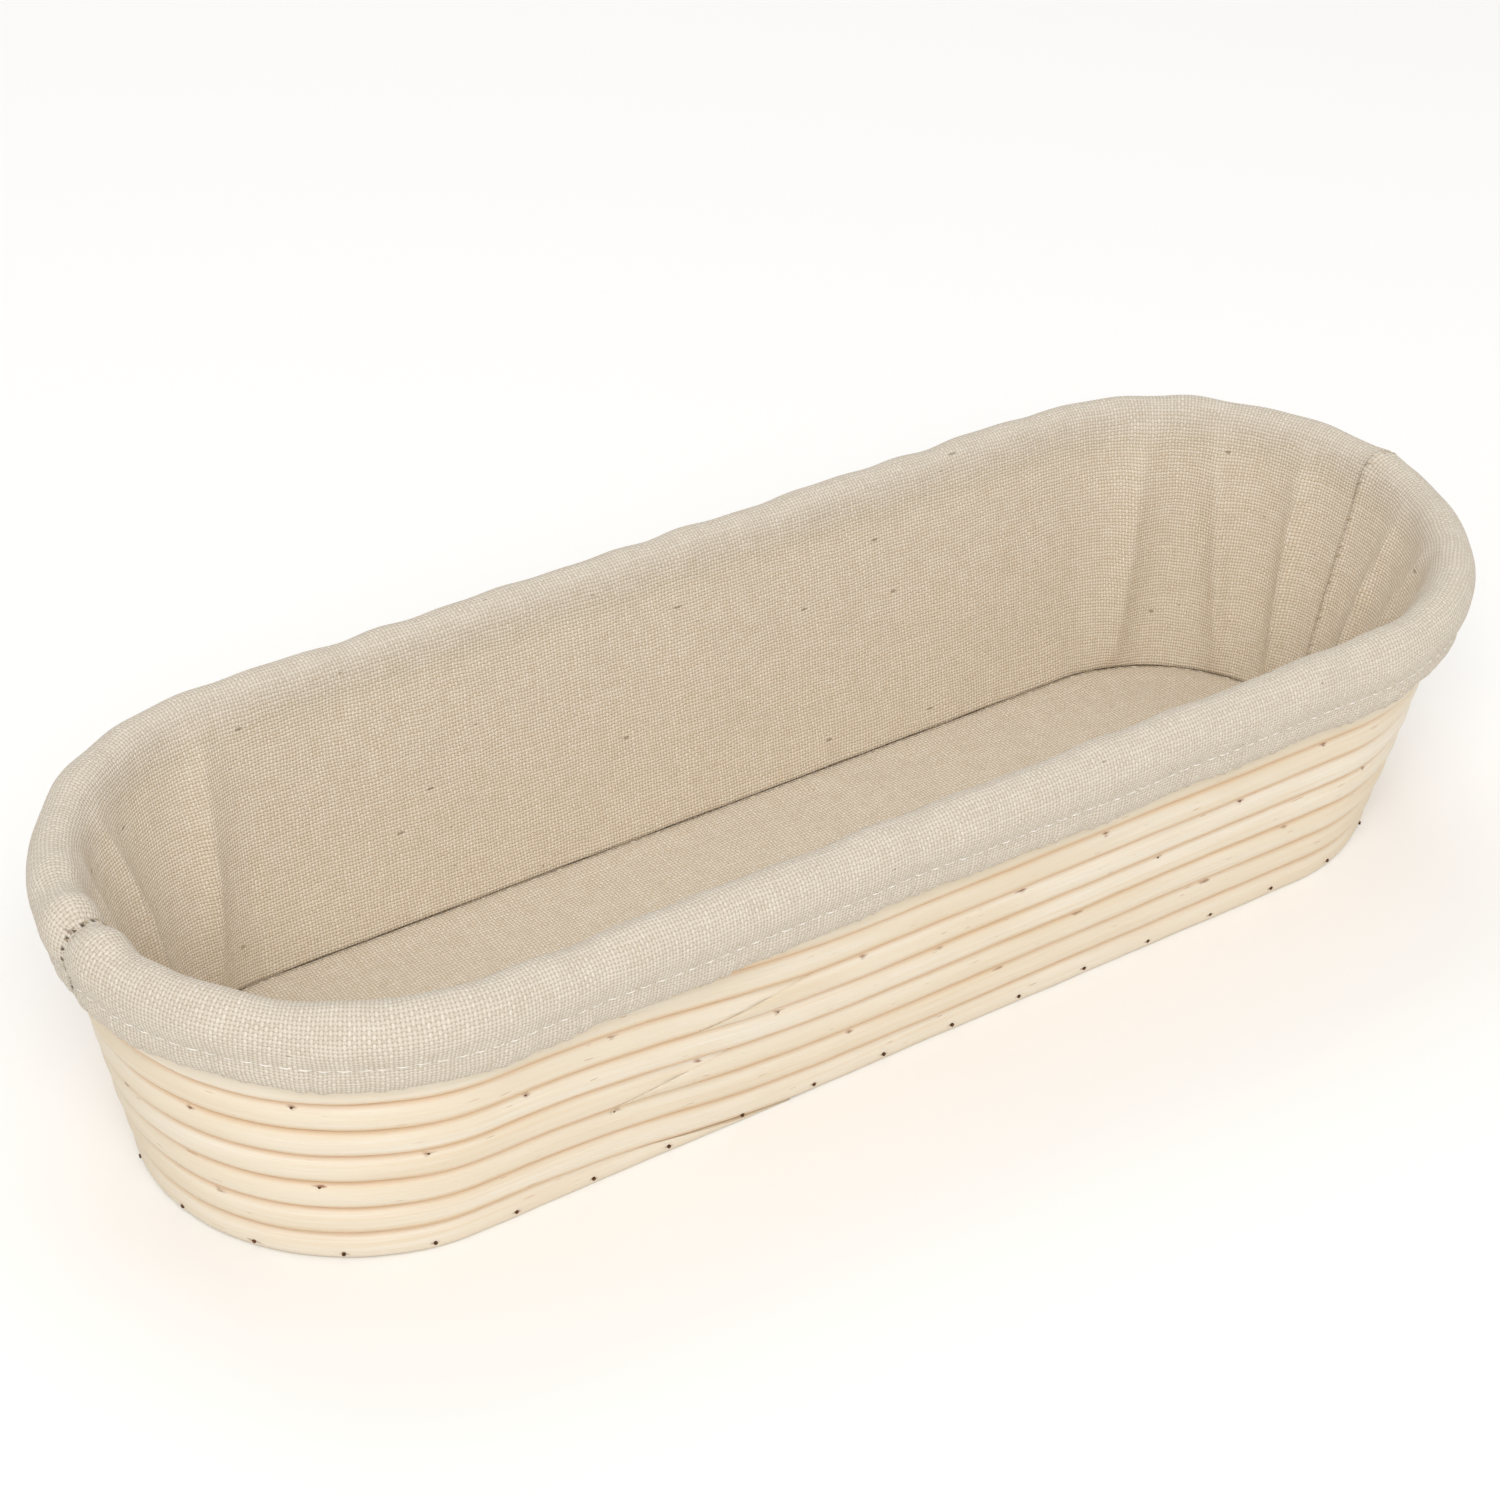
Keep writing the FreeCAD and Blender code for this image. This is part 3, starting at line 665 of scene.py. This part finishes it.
def buildStitches():
    hemPlaces, hemDirections, hemNormals, seams = [], [], [], {}
    for cloth, side in ((linerFront, -1), (linerBack, 1)):
        rows = len(halfOutline(side, liner["alongStep"], liner["lap"])[0])
        points, normal = clothGrid(cloth, rows)
        top = int(np.argmax(points[rows // 2, :, 2]))
        fold = top + int(np.argmin(points[rows // 2, top:, 2]))
        column = top + int(np.argmin(np.abs(points[rows // 2, top:fold, 2] - liner["stitchLine"])))
        line = points[:, column]
        out = normal[:, column]
        middle = out[rows // 2]
        out = out if middle[1] * side > 0 else -out
        at, d = evenAlong(line, stitch["hem"]["pitch"])
        for a in at:
            p = pointAt(a, d, line)
            n = unit(pointAt(a, d, out))
            t = unit(pointAt(a + 1.0, d, line) - p)
            hemPlaces.append(p + n * liner["cloth"] / 2)
            hemDirections.append(unit(t - n * (t @ n)))
            hemNormals.append(n)
        # the end seams follow the front panel's edges, and stop just above the hem's fold
        for end, row in ((-1, 0), (1, rows - 1)):
            seams.setdefault(end, (points[row, :fold - 3], normal[row, :fold - 3]))
    hem = stitchRow("hemStitches", hemPlaces, hemDirections, hemNormals, stitch["hem"])
    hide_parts("hem_thread")
    made = [hem]
    for end in (-1, 1):
        line, normal = seams[end]
        facing = normal if (normal[5] @ np.array([-end, 0, 0])) > 0 else -normal
        at, d = evenAlong(line, stitch["end"]["pitch"])
        places, directions, normals = [], [], []
        for a in at[1:]:
            p, n = pointAt(a, d, line), pointAt(a, d, facing)
            p[1] = n[1] = 0
            n = unit(n)
            places.append(p + n * (liner["cloth"] / 2 + 0.1))
            # slanted across the seam
            directions.append(unit(np.array([0, 1.0, 0]) * 0.8 + np.cross(n, [0, 1, 0]) * 0.6))
            normals.append(n)
        seam = stitchRow("endSeamStitches" + ("Left" if end < 0 else "Right"), places, directions, normals,
                         stitch["end"])
        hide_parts("end_seam_thread_left" if end < 0 else "end_seam_thread_right")
        made.append(seam)
    # stitches round the floor, in the corner under the wall
    r = liner["floorRadius"] - 0.9
    floorTop = liner["floorHeight"] + liner["cloth"] / 2
    places, directions, normals = [], [], []
    for side in (-1, 1):
        centre, ox, oy, s = halfOutline(side, 1.0)
        line = np.stack([centre + ox * r, oy * r, np.full(len(s), floorTop)], 1)
        at, d = evenAlong(line, stitch["floor"]["pitch"])
        for a in at:
            p = pointAt(a, d, line)
            places.append(p)
            directions.append(unit(pointAt(a + 1.0, d, line) - p))
            normals.append(np.array([0, 0, 1.0]))
    floorSeam = stitchRow("floorSeamStitches", places, directions, normals, stitch["floor"])
    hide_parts("base_seam_thread")
    made.append(floorSeam)
    return made


stitches = buildStitches()
print("stitches:", len(stitches), "rows")


# The elastic, hidden in the hem's casing

# radius and height of its two edges, in mm
elastic = {
    "low": (64.6, 60.2),
    "high": (65.8, 64.9),
    "thickness": 0.6,
    "ribs": 11,
    "ribDepth": 0.08,
    "step": 2.0,
}


def buildElastic():
    centre, ox, oy = fullOutline(elastic["step"])
    w = np.linspace(0, 1, elastic["ribs"])
    low, high = np.array(elastic["low"]), np.array(elastic["high"])
    ribbed = elastic["ribDepth"] * np.cos(np.arange(elastic["ribs"]) * np.pi)
    outer = low + (high - low) * w[:, None] + np.stack([elastic["thickness"] / 2 + ribbed, 0 * w], 1)
    inner = (low + (high - low) * w[:, None] - np.stack([elastic["thickness"] / 2 + 0 * w, 0 * w], 1))[::-1]
    section = np.concatenate([outer, inner])
    points = np.stack([centre[:, None] + ox[:, None] * section[None, :, 0], oy[:, None] * section[None, :, 0],
                       np.repeat(section[None, :, 1], len(centre), 0)], 2)
    s = np.arange(len(centre)) * elastic["step"]
    gridU = np.repeat(s[:, None], len(section) + 1, 1)
    gridV = np.repeat(np.linspace(0, 12, len(section) + 1)[None, :], len(centre), 0)
    made = gridMesh("hemElastic", points, gridU, gridV, wrap=True)
    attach(made, "liner")
    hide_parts("hem_elastic")
    return made


hemElastic = buildElastic()
print("hem elastic built")


# Materials

# Raw split rattan, sanded: pale straw, dry and matt, with fine lengthwise fibres; painted shade darkens it to
# orange in the grooves between the turns, and rust bleeds along the grain from the brads
def rattanCane():
    # real fibres are 0.2 mm wide, too fine to show, so these are drawn coarser
    fibreWidth, fibreLength = 0.45 * mm, 26 * mm
    material, tree = newMaterial("rattanCaneSandedRaw")
    uv = addNode(tree, "ShaderNodeUVMap", {"uv_map": "UVMap"})
    fibreMap = addNode(tree, "ShaderNodeMapping", None,
                       {"Vector": uv, "Scale": (1 / fibreLength, 1 / fibreWidth, 1)})
    fibre = addNode(tree, "ShaderNodeTexNoise", {"noise_dimensions": "2D"},
                    {"Vector": fibreMap, "Scale": 1.0, "Detail": 5.0, "Roughness": 0.62, "Distortion": 0.15})
    # longer marks along the grain: length and width in mm, and detail
    marks = []
    for long, wide, detail in ((90, 1.6, 3.0), (70, 9, 2.0), (7, 0.7, 1.0)):
        markMap = addNode(tree, "ShaderNodeMapping", None,
                          {"Vector": uv, "Scale": (1 / (long * mm), 1 / (wide * mm), 1)})
        marks.append(addNode(tree, "ShaderNodeTexNoise", {"noise_dimensions": "2D"},
                             {"Vector": markMap, "Scale": 1.0, "Detail": detail}))
    vein, patch, fleck = marks
    tone = addNode(tree, "ShaderNodeAttribute", {"attribute_name": "tone"})
    toneFac = tone.node.outputs["Fac"]
    pale = addNode(tree, "ShaderNodeMixRGB", None,
                   {"Fac": toneFac, "Color1": hexColour("#e9e0d1"), "Color2": hexColour("#e5dac7")})
    # painted shade in the grooves between the turns and rows
    grooveShade = addNode(tree, "ShaderNodeAttribute", {"attribute_name": "grooveShade"}).node.outputs["Fac"]
    grooveShadePatchy = addNode(tree, "ShaderNodeMath", {"operation": "MULTIPLY_ADD"}, {0: patch, 1: 0.16, 2: grooveShade})
    rust = addNode(tree, "ShaderNodeAttribute", {"attribute_name": "rust"}).node.outputs["Fac"]
    rustBroken = addNode(tree, "ShaderNodeMath", {"operation": "MULTIPLY"}, {0: rust, 1: fibre})
    # laid over the pale cane in turn: the value that places it, the range it fades over, the share of its
    # colour at each end of that range, and the colour
    layers = [(patch, 0.35, 0.7, 0.0, 1.0, "#e0d1b8"),            # yellower patches
              (vein, 0.52, 0.74, 0.0, 0.4, "#dec6a2"),            # long veins
              (fibre, 0.34, 0.66, 0.55, 0.0, "#decfb5"),          # fine fibres
              # the next layer is painted shade in the grooves between the turns
              (grooveShadePatchy, 0.6, 1.1, 0.0, 0.8, "#d8a86e"),       # the grooves between the turns
              (fleck, 0.79, 0.84, 0.0, 0.5, "#a9713c"),           # rare short dark flecks
              (rustBroken, 0.22, 0.5, 0.0, 0.85, "#86552f")]      # rust round the brads
    colour = pale
    for value, low, high, atLow, atHigh, tint in layers:
        share = addNode(tree, "ShaderNodeMapRange", None,
                        {"Value": value, "From Min": low, "From Max": high, "To Min": atLow, "To Max": atHigh})
        colour = addNode(tree, "ShaderNodeMixRGB", None,
                         {"Fac": share, "Color1": colour, "Color2": hexColour(tint)})
    height = addNode(tree, "ShaderNodeMath", {"operation": "ADD"}, {0: fibre, 1: vein})
    bump = addNode(tree, "ShaderNodeBump", None, {"Strength": 0.55, "Distance": 0.22 * mm, "Height": height})
    rough = addNode(tree, "ShaderNodeMapRange", None, {"Value": fibre, "To Min": 0.52, "To Max": 0.74})
    shader = addNode(tree, "ShaderNodeBsdfPrincipled", None,
                     {"Base Color": colour, "Roughness": rough, "Normal": bump, "IOR": 1.47,
                      "Specular IOR Level": 0.32})
    finishMaterial(tree, shader)
    return material


# Unbleached linen, plain weave: greyish beige, soft and matt, its thick and thin threads showing, and small
# holes dark with painted shade, with a few slubs; the inside is painted warmer, as painted warm shade and
# bounce light
def unbleachedLinen():
    threadPitch = 0.86 * mm    # coarse linen, wide enough apart to show
    material, tree = newMaterial("unbleachedLinenPlainWeave")
    uv = addNode(tree, "ShaderNodeUVMap", {"uv_map": "UVMap"})
    pullMap = addNode(tree, "ShaderNodeMapping", None, {"Vector": uv, "Scale": (70, 70, 1)})
    pull = addNode(tree, "ShaderNodeTexNoise", {"noise_dimensions": "2D"},
                   {"Vector": pullMap, "Scale": 1.0, "Detail": 2.0}).node.outputs["Color"]
    pulled = addNode(tree, "ShaderNodeVectorMath", {"operation": "MULTIPLY_ADD"},
                     {0: pull, 1: (1.5 * mm, 1.5 * mm, 0), 2: uv})
    threads = addNode(tree, "ShaderNodeVectorMath", {"operation": "SCALE"},
                      {0: pulled, "Scale": 1 / threadPitch})
    split = addNode(tree, "ShaderNodeSeparateXYZ", None, {0: threads}).node
    x, y = split.outputs[0], split.outputs[1]
    xThread = addNode(tree, "ShaderNodeMath", {"operation": "FLOOR"}, {0: x})
    yThread = addNode(tree, "ShaderNodeMath", {"operation": "FLOOR"}, {0: y})

    # heights of one set of threads, each with a rounded back, passing over and under
    def threadHeight(across, along, number, sign):
        turned = addNode(tree, "ShaderNodeMath", {"operation": "MULTIPLY"}, {0: across, 1: math.pi})
        back = addNode(tree, "ShaderNodeMath", {"operation": "SINE"}, {0: turned})
        hump = addNode(tree, "ShaderNodeMath", {"operation": "MULTIPLY"}, {0: back, 1: back})
        soft = addNode(tree, "ShaderNodeMath", {"operation": "POWER"}, {0: hump, 1: 0.6})
        shifted = addNode(tree, "ShaderNodeMath", {"operation": "ADD"}, {0: along, 1: number})
        wavePart = addNode(tree, "ShaderNodeMath", {"operation": "MULTIPLY"}, {0: shifted, 1: math.pi})
        wave = addNode(tree, "ShaderNodeMath", {"operation": "SINE"}, {0: wavePart})
        over = addNode(tree, "ShaderNodeMath", {"operation": "MULTIPLY_ADD"}, {0: wave, 1: 0.5 * sign, 2: 0.5})
        return addNode(tree, "ShaderNodeMath", {"operation": "MULTIPLY"}, {0: soft, 1: over})

    warp = threadHeight(x, y, xThread, 1)
    weft = threadHeight(y, x, yThread, -1)
    weave = addNode(tree, "ShaderNodeMath", {"operation": "MAXIMUM"}, {0: warp, 1: weft})
    # each thread is a little thicker, darker or paler than the next, and changes slowly along its length
    perThread, alongThread = 0.77, 0.12
    warpAcross = addNode(tree, "ShaderNodeMath", {"operation": "MULTIPLY"}, {0: xThread, 1: perThread})
    warpAlong = addNode(tree, "ShaderNodeMath", {"operation": "MULTIPLY"}, {0: y, 1: alongThread})
    warpSeed = addNode(tree, "ShaderNodeCombineXYZ", None, {0: warpAcross, 1: warpAlong})
    weftAlong = addNode(tree, "ShaderNodeMath", {"operation": "MULTIPLY"}, {0: x, 1: alongThread})
    weftAcross = addNode(tree, "ShaderNodeMath", {"operation": "MULTIPLY_ADD"},
                         {0: yThread, 1: perThread, 2: 31.7})
    weftSeed = addNode(tree, "ShaderNodeCombineXYZ", None, {0: weftAlong, 1: weftAcross})
    warpTone = addNode(tree, "ShaderNodeTexNoise", {"noise_dimensions": "2D"},
                       {"Vector": warpSeed, "Scale": 1.0, "Detail": 1.0})
    weftTone = addNode(tree, "ShaderNodeTexNoise", {"noise_dimensions": "2D"},
                       {"Vector": weftSeed, "Scale": 1.0, "Detail": 1.0})
    isWarp = addNode(tree, "ShaderNodeMath", {"operation": "GREATER_THAN"}, {0: warp, 1: weft})
    threadTone = addNode(tree, "ShaderNodeMixRGB", None,
                         {"Fac": isWarp, "Color1": weftTone, "Color2": warpTone})
    insideWarmShade = addNode(tree, "ShaderNodeAttribute", {"attribute_name": "insideWarmShade"}).node.outputs["Fac"]
    # painted warm shade and bounce light: the inside is coloured warmer than the outside
    pale = addNode(tree, "ShaderNodeMixRGB", None,
                   {"Fac": insideWarmShade, "Color1": hexColour("#e4dacb"), "Color2": hexColour("#f0e5d4")})
    dark = addNode(tree, "ShaderNodeMixRGB", None,
                   {"Fac": insideWarmShade, "Color1": hexColour("#ccbfab"), "Color2": hexColour("#d9c8ae")})
    toneRamp = addNode(tree, "ShaderNodeMapRange", None,
                       {"Value": threadTone, "From Min": 0.25, "From Max": 0.75, "To Max": 0.55})
    isWeft = addNode(tree, "ShaderNodeMath", {"operation": "SUBTRACT"}, {0: 1.0, 1: isWarp})
    toneRamp = addNode(tree, "ShaderNodeMath", {"operation": "MULTIPLY_ADD"}, {0: isWeft, 1: 0.3, 2: toneRamp})
    yarn = addNode(tree, "ShaderNodeMixRGB", None, {"Fac": toneRamp, "Color1": pale, "Color2": dark})
    # painted shade in the holes between threads, warmer inside
    hole = addNode(tree, "ShaderNodeMapRange", None,
                   {"Value": weave, "From Min": 0.14, "From Max": 0.5, "To Min": 0.55, "To Max": 0.0})
    holeShadeColour = addNode(tree, "ShaderNodeMixRGB", None,
                         {"Fac": insideWarmShade, "Color1": hexColour("#93836b"), "Color2": hexColour("#98805f")})
    woven = addNode(tree, "ShaderNodeMixRGB", None, {"Fac": hole, "Color1": yarn, "Color2": holeShadeColour})
    # slubs: rare dark bits of straw spun into a thread
    slubMap = addNode(tree, "ShaderNodeMapping", None,
                      {"Vector": uv, "Scale": (1 / (4.6 * mm), 1 / (1.7 * mm), 1)})
    slub = addNode(tree, "ShaderNodeTexNoise", {"noise_dimensions": "2D"},
                   {"Vector": slubMap, "Scale": 1.0, "Detail": 0.0})
    slubRamp = addNode(tree, "ShaderNodeMapRange", None,
                       {"Value": slub, "From Min": 0.915, "From Max": 0.935, "To Max": 0.55})
    slubbed = addNode(tree, "ShaderNodeMixRGB", None,
                      {"Fac": slubRamp, "Color1": woven, "Color2": hexColour("#6d5335")})
    # needle holes pulled open beside the end seams: a dip in the bump, and painted shade in their dark colour
    fromSeam = addNode(tree, "ShaderNodeAttribute", {"attribute_name": "fromSeam"}).node.outputs["Fac"]
    offLine = addNode(tree, "ShaderNodeMath", {"operation": "SUBTRACT"}, {0: fromSeam, 1: 0.2 * mm})
    offLine = addNode(tree, "ShaderNodeMath", {"operation": "ABSOLUTE"}, {0: offLine})
    onLine = addNode(tree, "ShaderNodeMapRange", None,
                     {"Value": offLine, "From Min": 0.35 * mm, "From Max": 0.75 * mm, "To Min": 1.0,
                      "To Max": 0.0})
    uvSplit = addNode(tree, "ShaderNodeSeparateXYZ", None, {0: uv}).node
    steps = addNode(tree, "ShaderNodeMath", {"operation": "MULTIPLY"},
                    {0: uvSplit.outputs[1], 1: 2 * math.pi / (stitch["end"]["pitch"] * mm)})
    steps = addNode(tree, "ShaderNodeMath", {"operation": "COSINE"}, {0: steps})
    stepRamp = addNode(tree, "ShaderNodeMapRange", None, {"Value": steps, "From Min": 0.1, "From Max": 0.8})
    needle = addNode(tree, "ShaderNodeMath", {"operation": "MULTIPLY"}, {0: onLine, 1: stepRamp})
    outside = addNode(tree, "ShaderNodeMath", {"operation": "MULTIPLY_ADD"}, {0: insideWarmShade, 1: -0.9, 2: 0.9})
    needle = addNode(tree, "ShaderNodeMath", {"operation": "MULTIPLY"}, {0: needle, 1: outside})
    cloth = addNode(tree, "ShaderNodeMixRGB", None,
                    {"Fac": needle, "Color1": slubbed, "Color2": hexColour("#4d3a26")})
    fuzzMap = addNode(tree, "ShaderNodeMapping", None, {"Vector": uv, "Scale": (3200, 3200, 1)})
    fuzz = addNode(tree, "ShaderNodeTexNoise", {"noise_dimensions": "2D"},
                   {"Vector": fuzzMap, "Scale": 1.0, "Detail": 2.0})
    heightA = addNode(tree, "ShaderNodeMath", {"operation": "MULTIPLY_ADD"}, {0: fuzz, 1: 0.25, 2: weave})
    heightB = addNode(tree, "ShaderNodeMath", {"operation": "SUBTRACT"}, {0: heightA, 1: needle})
    bump = addNode(tree, "ShaderNodeBump", None, {"Strength": 0.8, "Distance": 0.34 * mm, "Height": heightB})
    shader = addNode(tree, "ShaderNodeBsdfPrincipled", None,
                     {"Base Color": cloth, "Roughness": 0.9, "Normal": bump, "Specular IOR Level": 0.2,
                      "Sheen Weight": 0.12, "Sheen Roughness": 0.5})
    finishMaterial(tree, shader)
    return material


# White cotton thread, two-ply: bright, with a faint twist along it
def cottonThread(name, light, shadow):
    material, tree = newMaterial(name)
    place = addNode(tree, "ShaderNodeTexCoord").node.outputs["Object"]
    twist = addNode(tree, "ShaderNodeTexWave", {"wave_type": "BANDS", "bands_direction": "DIAGONAL"},
                    {"Vector": place, "Scale": 260.0, "Distortion": 1.5, "Detail": 1.0})
    twist = twist.node.outputs["Fac"]
    colour = addNode(tree, "ShaderNodeMixRGB", None,
                     {"Fac": twist, "Color1": hexColour(shadow), "Color2": hexColour(light)})
    bump = addNode(tree, "ShaderNodeBump", None, {"Strength": 0.4, "Distance": 0.06 * mm, "Height": twist})
    shader = addNode(tree, "ShaderNodeBsdfPrincipled", None,
                     {"Base Color": colour, "Roughness": 0.6, "Normal": bump, "Sheen Weight": 0.2})
    finishMaterial(tree, shader)
    return material


# Iron wire brads, left to rust: dark brown, dull, with brighter worn spots
def rustedWire():
    material, tree = newMaterial("ironWireRusted")
    place = addNode(tree, "ShaderNodeTexCoord").node.outputs["Object"]
    grain = addNode(tree, "ShaderNodeTexNoise", None, {"Vector": place, "Scale": 2600.0, "Detail": 4.0})
    rusty = addNode(tree, "ShaderNodeMapRange", None, {"Value": grain, "From Min": 0.42, "From Max": 0.58})
    colour = addNode(tree, "ShaderNodeMixRGB", None,
                     {"Fac": rusty, "Color1": hexColour("#3a2c22"), "Color2": hexColour("#6b3f22")})
    metal = addNode(tree, "ShaderNodeMapRange", None, {"Value": rusty, "To Min": 0.85, "To Max": 0.1})
    rough = addNode(tree, "ShaderNodeMapRange", None, {"Value": grain, "To Min": 0.5, "To Max": 0.9})
    bump = addNode(tree, "ShaderNodeBump", None, {"Strength": 0.5, "Distance": 0.05 * mm, "Height": grain})
    shader = addNode(tree, "ShaderNodeBsdfPrincipled", None,
                     {"Base Color": colour, "Metallic": metal, "Roughness": rough, "Normal": bump})
    finishMaterial(tree, shader)
    return material


caneFinish = rattanCane()
linenFinish = unbleachedLinen()
threadFinish = cottonThread("cottonThreadWhite", "#f3efe7", "#d9d3c8")
seamFinish = cottonThread("cottonThreadNatural", "#d9cdb8", "#ab9778")
elasticFinish = cottonThread("wovenElasticWhite", "#f2f0ea", "#d5d1c8")
wireFinish = rustedWire()
finished = [(caneFinish, wallCanes + baseCanes), (linenFinish, panels), (threadFinish, stitches[:1]),
            (elasticFinish, [hemElastic]), (seamFinish, stitches[1:])]
for finish, pieces in finished:
    for piece in pieces:
        piece.data.materials.append(finish)
for node in ("wall_brads", "base_edge_brads", "base_cross_brads"):
    for slot in bpy.data.objects[node].material_slots:
        slot.material = wireFinish
print("materials made")


# Studio: a pale floor, a pale surround and three large soft lights

studio = {
    "floor": "#f7f6f4",
    "surround": "#ffffff",
    "surroundStrength": 0.6,
    # place, size and power of each light, in metres and watts, all aimed at the basket
    "lights": [((-1.0, -1.3, 1.6), 1.2, 29.0), ((1.5, -0.9, 1.0), 1.6, 5.0), ((0.2, 1.2, 1.7), 1.4, 8.0)],
}


def buildStudio():
    mesh = bpy.data.meshes.new("studioFloor")
    mesh.from_pydata([(-6, -6, 0), (6, -6, 0), (6, 6, 0), (-6, 6, 0)], [], [(0, 1, 2, 3)])
    floor = bpy.data.objects.new("studioFloor", mesh)
    scene.collection.objects.link(floor)
    material, tree = newMaterial("studioPaper")
    paper = {"Base Color": hexColour(studio["floor"]), "Roughness": 0.85, "Specular IOR Level": 0.2}
    finishMaterial(tree, addNode(tree, "ShaderNodeBsdfPrincipled", None, paper))
    mesh.materials.append(material)
    world = bpy.data.worlds.new("studioSurround")
    world.use_nodes = True
    background = world.node_tree.nodes["Background"]
    background.inputs["Color"].default_value = hexColour(studio["surround"])
    background.inputs["Strength"].default_value = studio["surroundStrength"]
    scene.world = world
    for number, (place, size, power) in enumerate(studio["lights"]):
        data = bpy.data.lights.new("softLight%d" % number, "AREA")
        data.size, data.energy = size, power
        light = bpy.data.objects.new("softLight%d" % number, data)
        aimed = Vector(place).to_track_quat("Z", "Y").to_matrix().to_4x4()
        light.matrix_world = Matrix.Translation(place) @ aimed
        scene.collection.objects.link(light)


# Camera: a long lens, from the front left and above
camera = {
    "azimuth": -36.53,     # degrees
    "elevation": 34.19,
    "roll": 2.35,
    "distance": 873.0,     # mm, from the point aimed at
    "aim": (5.3, 26.6, 37.6),
    "lens": 86.4,
}


def buildCamera():
    a, e, r = (math.radians(camera[k]) for k in ("azimuth", "elevation", "roll"))
    back = Vector((math.sin(a) * math.cos(e), -math.cos(a) * math.cos(e), math.sin(e)))
    right = Vector((0, 0, 1)).cross(back).normalized()
    up = back.cross(right)
    tiltedRight = right * math.cos(r) + up * math.sin(r)
    tiltedUp = up * math.cos(r) - right * math.sin(r)
    data = bpy.data.cameras.new("camera")
    data.lens, data.sensor_width = camera["lens"], 36.0
    data.clip_end = 20
    eye = bpy.data.objects.new("camera", data)
    turn = Matrix((tiltedRight, tiltedUp, back)).transposed().to_4x4()
    place = (Vector(camera["aim"]) + back * camera["distance"]) * mm
    eye.matrix_world = Matrix.Translation(place) @ turn
    scene.collection.objects.link(eye)
    scene.camera = eye


buildStudio()
buildCamera()
scene.view_settings.view_transform = "Standard"
print("studio and camera ready")
